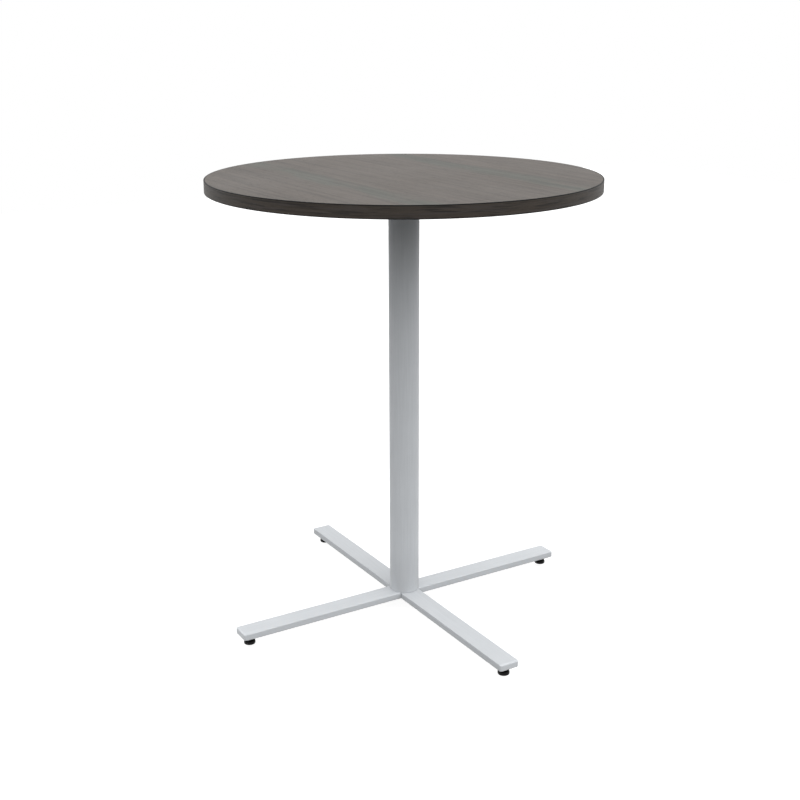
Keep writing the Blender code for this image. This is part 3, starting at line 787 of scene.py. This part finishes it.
def threaded(radius, depth, pitch, low, high):
    """A closed round rod with a V thread cut into it."""
    def width_at(place):
        """Share of the radius that the groove leaves at a point."""
        turn = math.atan2(place.y, place.x) / (2 * math.pi)
        from_crest = abs(2 * ((place.z / pitch - turn) % 1) - 1)
        fade = min(1, (place.z - low) / pitch, (high - place.z) / pitch)
        return 1 - depth / radius * max(from_crest * fade, 1 - fade * 2)

    rows = max(2, round((high - low) / pitch * ROWS_PER_TURN))
    return ringed_rod(THREAD_SIDES, radius, low, high, rows, width_at)


# %% [markdown]
# ## Hexagons
#
# A nut or a glide's hexagon starts as a six-sided bar. On the real part its corners are turned off at a shallow
# angle, which leaves the curved bright lines on the flats. The same happens here: the bar is kept only where a
# chamfered disc is.

# %% Hexagon with turned corners
CORNER_FALL = 0.0009
TURNED_FACE = 0.98
TURNED_GIRTH = 1.01
TURNED_STEPS = 60


def hexagon(across_flats, low, high):
    """A hexagonal block whose corners are turned off at both ends."""
    flat = across_flats / 2
    corner = flat / math.cos(math.pi / 6)
    girth = corner * TURNED_GIRTH
    low_end = low - MERGE_DISTANCE
    high_end = high + MERGE_DISTANCE
    disc = turned([(0, low_end, 0), (flat * TURNED_FACE, low_end, 0), (girth, low + CORNER_FALL, 0),
                   (girth, high - CORNER_FALL, 0), (flat * TURNED_FACE, high_end, 0), (0, high_end, 0)], TURNED_STEPS)
    return combined(cylinder(corner, low, high, 6), disc, "INTERSECT")


# %% [markdown]
# ## The levelling glides
#
# Each glide is two pieces. A steel stem with a hexagon screws into an insert in the leg, and its round head turns
# freely in a nylon foot. Turning the hexagon lifts the table while the foot stays still on the floor. The foot is
# moulded: a wide rim, a rounded shoulder and a low boss, with a shallow recess underneath.
# %% Glide pieces
STEM_RADIUS = 0.0040
THREAD_PITCH = 0.0015
THREAD_DEPTH = 0.00055
HEX_ACROSS_FLATS = 0.0130
HEX_HEIGHT = 0.0068
STEM_HEAD_RADIUS = 0.0060
RUNNING_GAP = 0.0003
JOIN_OVERLAP = 0.0005
CRISP_EDGE = 0.0002
FINE_EDGE = 0.0003
SOFT_EDGE = 0.0004
EASED_EDGE = 0.0005

# The foot's own section, from its recess outwards and up to its boss.
FOOT_RECESS_RADIUS = 0.0090
FOOT_RECESS_DEPTH = 0.0008
FOOT_RECESS_SLOPE = 0.0008
FOOT_CHAMFER = 0.0008
FOOT_CHAMFER_HEIGHT = 0.0010
RIM_HEIGHT = 0.0058
RIM_ROUNDING = 0.0012
SHOULDER_INSET = 0.0014
SHOULDER_HEIGHT = 0.0082
SHOULDER_ROUNDING = 0.0009
DECK_RADIUS = 0.0104
DECK_HEIGHT = 0.0096
BOSS_BASE_RADIUS = 0.0082
BOSS_BASE_HEIGHT = 0.0097
BOSS_RADIUS = 0.0079
SOCKET_LIP = 0.0030

# The insert in the leg: a flange under the wall and a barrel through it.
FLANGE_THICKNESS = 0.0010
BARREL_RADIUS = 0.0055

pad_low, pad_high, _ = span("glide_pad_right")
stem_low, stem_high, _ = span("glide_stem_right")
insert_low, insert_high, _ = span("glide_insert_right")
foot_radius = (pad_high.y - pad_low.y) / 2
socket_radius = STEM_HEAD_RADIUS + RUNNING_GAP
socket_floor = stem_low.z - RUNNING_GAP
socket_roof = pad_high.z - SOCKET_LIP
neck_hole = STEM_RADIUS + RUNNING_GAP
foot = turned([
    (0, FOOT_RECESS_DEPTH, 0),
    (FOOT_RECESS_RADIUS, FOOT_RECESS_DEPTH, SOFT_EDGE),
    (FOOT_RECESS_RADIUS + FOOT_RECESS_SLOPE, 0, FINE_EDGE),
    (foot_radius - FOOT_CHAMFER, 0, SOFT_EDGE),
    (foot_radius, FOOT_CHAMFER_HEIGHT, EASED_EDGE),
    (foot_radius, RIM_HEIGHT, RIM_ROUNDING),
    (foot_radius - SHOULDER_INSET, SHOULDER_HEIGHT, SHOULDER_ROUNDING),
    (DECK_RADIUS, DECK_HEIGHT, SHOULDER_ROUNDING),
    (BOSS_BASE_RADIUS, BOSS_BASE_HEIGHT, FINE_EDGE),
    (BOSS_RADIUS, pad_high.z, EASED_EDGE),
    (neck_hole, pad_high.z, FINE_EDGE),
    (neck_hole, socket_roof, 0),
    (socket_radius, socket_roof, 0),
    (socket_radius, socket_floor, 0),
    (0, socket_floor, 0),
], WIDE_ROUND_SIDES)

hex_low = pad_high.z + RUNNING_GAP
hex_high = hex_low + HEX_HEIGHT
head_top = socket_roof - RUNNING_GAP
head = turned([(0, stem_low.z, 0), (STEM_HEAD_RADIUS, stem_low.z, SOFT_EDGE),
               (STEM_HEAD_RADIUS, head_top, SOFT_EDGE), (STEM_RADIUS, head_top, 0),
               (STEM_RADIUS, hex_low + JOIN_OVERLAP, 0), (0, hex_low + JOIN_OVERLAP, 0)], ROUND_SIDES)
stud = threaded(STEM_RADIUS, THREAD_DEPTH, THREAD_PITCH, hex_high - JOIN_OVERLAP, stem_high.z)
stem = combined(combined(hexagon(HEX_ACROSS_FLATS, hex_low, hex_high), head, "UNION"), stud, "UNION")

flange_radius = (insert_high.y - insert_low.y) / 2
flange_top = insert_low.z + FLANGE_THICKNESS
insert = turned([(neck_hole, insert_low.z, FINE_EDGE), (flange_radius, insert_low.z, FINE_EDGE),
                 (flange_radius, flange_top, FINE_EDGE), (BARREL_RADIUS, flange_top, 0),
                 (BARREL_RADIUS, insert_high.z, SOFT_EDGE), (neck_hole, insert_high.z, CRISP_EDGE)], ROUND_SIDES)
for side in GLIDE_SIDES:
    where = side_turn(side) @ Matrix.Translation((glide_reach, 0, 0))
    add_piece(f"nylon_foot_{side}", moved_copy(foot, where), NYLON, ["glide_pad_" + side])
    add_piece(f"glide_screw_{side}", moved_copy(stem, where), ZINC, ["glide_stem_" + side])
    add_piece(f"leg_insert_{side}", moved_copy(insert, where), ZINC, ["glide_insert_" + side])
for shape in (foot, stem, insert):
    shape.free()
print("foot:", round(2 * foot_radius, 4), "m across")

# %% [markdown]
# ## What holds the base together
#
# Under the crossing a small cross of plate is welded to the legs. The tie rod comes down through it, and one washer
# and nut pull the column, the legs and the mounting plate together. The weld beads are short ropes of metal: a ring
# is swept along each joint and swells and shrinks as it goes, as the puddle does.

# %% Hub plate, washer, nut and rod
HUB_HALF_WIDTH = 0.017
HUB_ROUNDING = 0.0004
HUB_CORNER = 0.0025
ROD_RADIUS = 0.0060
ROD_PITCH = 0.00175
ROD_THREAD_DEPTH = 0.00065
ROD_HOLE = 0.0063
NUT_ACROSS_FLATS = 0.0190
THREADED_LENGTH = 0.040
SHANK_RADIUS = 0.00582
SHANK_OVERLAP = 0.0002
TIP_CORNER_SEGMENTS = 6
TIP_ZONE = 0.8

hub_low, hub_high, _ = span("hub_plate")


def drilled(bm, radius, low, high, sides=ROUND_SIDES, centre=(0, 0)):
    """The piece with a round hole right through it."""
    return combined(bm, cylinder(radius, low - OVERRUN, high + OVERRUN, sides, centre), "DIFFERENCE")


def flat_cross(reach, half_width, tip_half_width, low, high, tip_corner, edge_rounding):
    """A flat plate with four arms, drawn as one outline, thickened, with its corners and edges rounded."""
    bm = bmesh.new()
    outline = []
    for quarter in range(4):
        turn = Matrix.Rotation(quarter * math.pi / 2, 3, "Z")
        for corner in ((half_width, -half_width, low), (reach, -tip_half_width, low), (reach, tip_half_width, low)):
            outline.append(bm.verts.new(turn @ Vector(corner)))
    drawn = bmesh.ops.extrude_face_region(bm, geom=[bm.faces.new(outline)])
    raised = [item for item in drawn["geom"] if isinstance(item, bmesh.types.BMVert)]
    bmesh.ops.translate(bm, verts=raised, vec=(0, 0, high - low))
    round_edges(bm, lambda a, b: abs(a.z - b.z) > MERGE_DISTANCE and a.xy.length > reach * TIP_ZONE, tip_corner,
                TIP_CORNER_SEGMENTS)
    round_edges(bm, lambda a, b: abs(a.z - b.z) < MERGE_DISTANCE, edge_rounding, segments=2)
    return bm


hub = flat_cross(hub_high.x, HUB_HALF_WIDTH, HUB_HALF_WIDTH, hub_low.z, hub_high.z, HUB_CORNER, HUB_ROUNDING)
add_piece("hub_cross_plate", drilled(hub, ROD_HOLE, hub_low.z, hub_high.z), CAP_SILVER, ["hub_plate"])

washer_low, washer_high, _ = span("tie_washer")
washer_radius = (washer_high.x - washer_low.x) / 2
washer = turned(ring_section(ROD_HOLE, washer_radius, washer_low.z, washer_high.z, SOFT_EDGE), WIDE_ROUND_SIDES)
add_piece("base_washer", washer, ZINC, ["tie_washer"])
for name, stands_for in (("base_nut", "tie_nut"), ("top_nut", "plate_nut")):
    nut_low, nut_high, _ = span(stands_for)
    nut = drilled(hexagon(NUT_ACROSS_FLATS, nut_low.z, nut_high.z), ROD_HOLE, nut_low.z, nut_high.z)
    add_piece(name, nut, ZINC, [stands_for])

rod_low, rod_high, _ = span("tie_rod")
thread_end = rod_low.z + THREADED_LENGTH
rod = combined(threaded(ROD_RADIUS, ROD_THREAD_DEPTH, ROD_PITCH, rod_low.z, thread_end),
               cylinder(SHANK_RADIUS, thread_end - SHANK_OVERLAP, rod_high.z, SMALL_ROUND_SIDES), "UNION")
add_piece("threaded_tie_rod", rod, ZINC, ["tie_rod"])

# %% Weld beads round the hub plate
BEAD_START = 0.024
BEAD_RADIUS = 0.0016
BEAD_RIPPLE = 0.0018
BEAD_SWELL = 0.10
BEAD_TIP = 0.10
BEAD_SIDES = 10
BEAD_STEP = 0.0005


def bead(start, end):
    """A rippled weld bead from one point to another."""
    start = Vector(start)
    run = Vector(end) - start

    def width_at(place):
        """Share of the bead's radius at a point: rippled, and drawn in towards both ends."""
        swell = 1 + BEAD_SWELL * math.sin(2 * math.pi * place.z / BEAD_RIPPLE)
        from_end = min(place.z, run.length - place.z) / BEAD_RADIUS
        return swell * math.sqrt(min(1, BEAD_TIP + from_end))

    steps = max(4, round(run.length / BEAD_STEP))
    bm = ringed_rod(BEAD_SIDES, BEAD_RADIUS, 0, run.length, steps, width_at)
    along = run.to_track_quat("Z", "Y").to_matrix().to_4x4()
    bmesh.ops.transform(bm, matrix=Matrix.Translation(start) @ along, verts=bm.verts)
    return bm


for side in GLIDE_SIDES:
    for hand, across in (("a", -HUB_HALF_WIDTH), ("b", HUB_HALF_WIDTH)):
        weld = bead((BEAD_START, across, hub_high.z), (hub_high.x - HUB_CORNER, across, hub_high.z))
        bmesh.ops.transform(weld, matrix=side_turn(side), verts=weld.verts)
        add_piece(f"hub_weld_{side}_{hand}", weld, CAP_SILVER, ["hub_plate"])

# %% [markdown]
# ## Under the top
#
# Nobody standing at the table sees its mounting plate, but a good part is whole from below too. The plate is a
# tapered cross of five millimetre steel with eased edges, and eight socket screws hold it to inserts in the core.

# %% Mounting plate and screws
PLATE_ROOT_HALF = 0.045
PLATE_TIP_HALF = 0.020
PLATE_TIP_CORNER = 0.012
PLATE_ROUNDING = 0.0005
SCREW_HOLE = 0.0033
SCREW_RADIUS = 0.0030
SCREW_HEAD_RADIUS = 0.0060
SCREW_CROWN_RADIUS = 0.0042
SCREW_CROWN_ROUNDING = 0.0008
SCREW_SHOULDER = 0.0022
SCREW_SHOULDER_ROUNDING = 0.0006
SOCKET_DEPTH = 0.0022
SOCKET_CORNER = 0.0020 / math.cos(math.pi / 6)
SCREW_NODES = [f"plate_screw_{number}" for number in range(1, 9)]

plate_low, plate_high, _ = span("mounting_plate")
plate = flat_cross(plate_high.x, PLATE_ROOT_HALF, PLATE_TIP_HALF, plate_low.z, plate_high.z, PLATE_TIP_CORNER,
                   PLATE_ROUNDING)
plate = drilled(plate, ROD_HOLE, plate_low.z, plate_high.z)
for name in SCREW_NODES:
    plate = drilled(plate, SCREW_HOLE, plate_low.z, plate_high.z, SMALL_ROUND_SIDES, span(name)[2].xy)
add_piece("top_mounting_plate", plate, BLACK_STEEL, ["mounting_plate"])

screw_low, screw_high, _ = span(SCREW_NODES[0])
head_low, head_high = screw_low.z, plate_low.z - RUNNING_GAP
button = turned([(0, head_low, 0), (SCREW_CROWN_RADIUS, head_low, SCREW_CROWN_ROUNDING),
                 (SCREW_HEAD_RADIUS, head_low + SCREW_SHOULDER, SCREW_SHOULDER_ROUNDING),
                 (SCREW_HEAD_RADIUS, head_high, CRISP_EDGE),
                 (SCREW_RADIUS, head_high, 0), (SCREW_RADIUS, screw_high.z, SOFT_EDGE), (0, screw_high.z, 0)],
                ROUND_SIDES)
socket = cylinder(SOCKET_CORNER, head_low - OVERRUN, head_low + SOCKET_DEPTH, 6)
button = combined(button, socket, "DIFFERENCE")
for number, name in enumerate(SCREW_NODES, start=1):
    middle = span(name)[2]
    placed = moved_copy(button, Matrix.Translation((middle.x, middle.y, 0)))
    add_piece(f"socket_screw_{number}", placed, ZINC, [name])
button.free()

# %% [markdown]
# ## Pieces that keep their own solid
#
# The pieces sealed inside the top and the column are already right as they are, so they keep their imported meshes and
# only get a finish.

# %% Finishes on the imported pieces
KEPT_FINISHES = {
    "tabletop_core": PARTICLEBOARD,
    "column_collar": BLACK_STEEL,
    "column_foot_disc": BLACK_STEEL,
    "crush_sleeve": ZINC,
    **{f"core_insert_{number}": BRASS for number in range(1, 9)},
}
for name, material in KEPT_FINISHES.items():
    packed = frame["nodes"][name]
    packed.data.materials.clear()
    packed.data.materials.append(material)
print("kept as packed:", len(KEPT_FINISHES))

# %% [markdown]
# ## Floor and light
#
# A catalogue picture like this one is taken in a white room with large soft lights all round. The column tells how:
# it is dark just under the top, where the top hides the light from above, it is lightest towards the floor, and both
# of its sides are lighter than its middle. So the sky here is dim at the horizon and bright above, it leans towards
# the camera and to its right, and it has a low light to the left and to the right. There are no lamps, because a
# lamp would leave a shadow that the picture doesn't have. To the camera, and in reflections, the background is plain
# white; the floor keeps the soft shadow. The floor lies just below the feet at their lowest, so that a foot which is
# screwed out isn't hidden in it.

# %% Floor
FLOOR_SIZE = 14.0
FLOOR_LEVEL = -0.0085
FLOOR_SEEN = 0.40
FLOOR_BOUNCE = 0.06
FLOOR_GLOW = 0.84

floor_mesh = bpy.data.meshes.new("white_floor")
floor_bm = bmesh.new()
bmesh.ops.create_grid(floor_bm, x_segments=1, y_segments=1, size=FLOOR_SIZE / 2,
                      matrix=Matrix.Translation((0, 0, FLOOR_LEVEL)))
floor_bm.to_mesh(floor_mesh)
floor_bm.free()
floor = bpy.data.objects.new("white_floor", floor_mesh)
scene.collection.objects.link(floor)


def make_floor_material():
    """White to the camera with a soft shadow, and see-through from below."""
    material, tree, shader, _ = new_material("white_floor")
    tree.nodes.remove(shader)
    output = tree.nodes["Material Output"]
    seen = seen_directly(tree)
    albedo = remap(tree, seen, 0, 1, FLOOR_BOUNCE, FLOOR_SEEN)
    matt = node(tree, "BsdfDiffuse", {"Color": grey(tree, albedo)}).outputs[0]
    glow = node(tree, "Emission", {"Strength": maths(tree, "MULTIPLY", seen, FLOOR_GLOW)}).outputs[0]
    lit = node(tree, "AddShader", {0: matt, 1: glow}).outputs[0]
    clear = node(tree, "BsdfTransparent", {}).outputs[0]
    below = node(tree, "NewGeometry", {}).outputs["Backfacing"]
    both = node(tree, "MixShader", {0: below, 1: lit, 2: clear}).outputs[0]
    tree.links.new(both, output.inputs["Surface"])
    return material


floor_mesh.materials.append(make_floor_material())

# %% World
GROUND_LIGHT = 0.03
HORIZON_BLUR = 0.02
SKY_HORIZON = 0.02
SKY_ABOVE = 1.52
SKY_RISE_FROM = 0.04
SKY_RISE_TO = 0.62
LEAN_RIGHT = 0.38
LEAN_AWAY = -0.68
LEAN_FULL_FROM = 0.35
SIDE_LIGHT = 1.00
SIDE_LIGHT_FULL_TO = 0.35
SIDE_LIGHT_GONE_FROM = 0.7

scene.view_settings.view_transform = "Standard"
world = bpy.data.worlds.new("studio")
scene.world = world
world.use_nodes = True
sky = world.node_tree
background = sky.nodes["Background"]
background.inputs["Color"].default_value = (1, 1, 1, 1)
direction = node(sky, "TexCoord", {}).outputs["Generated"]
turned_sky = node(sky, "Mapping", {"Vector": direction, "Rotation": (0, 0, CAMERA_HEADING)}).outputs["Vector"]
part_of = node(sky, "SeparateXYZ", {"Vector": turned_sky}).outputs
rising = remap(sky, part_of["Z"], SKY_RISE_FROM, SKY_RISE_TO, SKY_HORIZON, SKY_ABOVE)
lean = node(sky, "VectorMath", {0: turned_sky, 1: (LEAN_RIGHT, LEAN_AWAY, 0)}, operation="DOT_PRODUCT")
lean = maths(sky, "MULTIPLY", lean.outputs["Value"], remap(sky, part_of["Z"], 0, LEAN_FULL_FROM, 0, 1))
sideways = maths(sky, "MULTIPLY", part_of["X"], part_of["X"])
sideways = maths(sky, "MULTIPLY", sideways, sideways)
low_light = remap(sky, part_of["Z"], SIDE_LIGHT_FULL_TO, SIDE_LIGHT_GONE_FROM, SIDE_LIGHT, 0)
sides = maths(sky, "MULTIPLY", sideways, low_light)
above = maths(sky, "ADD", maths(sky, "ADD", rising, lean), sides)
above = maths(sky, "MAXIMUM", above, SKY_HORIZON)
light = remap(sky, part_of["Z"], -HORIZON_BLUR, HORIZON_BLUR, GROUND_LIGHT, above)
strength = node(sky, "Mix", {0: seen_directly(sky), 2: light, 3: 1.0}, data_type="FLOAT").outputs[0]
sky.links.new(strength, background.inputs["Strength"])
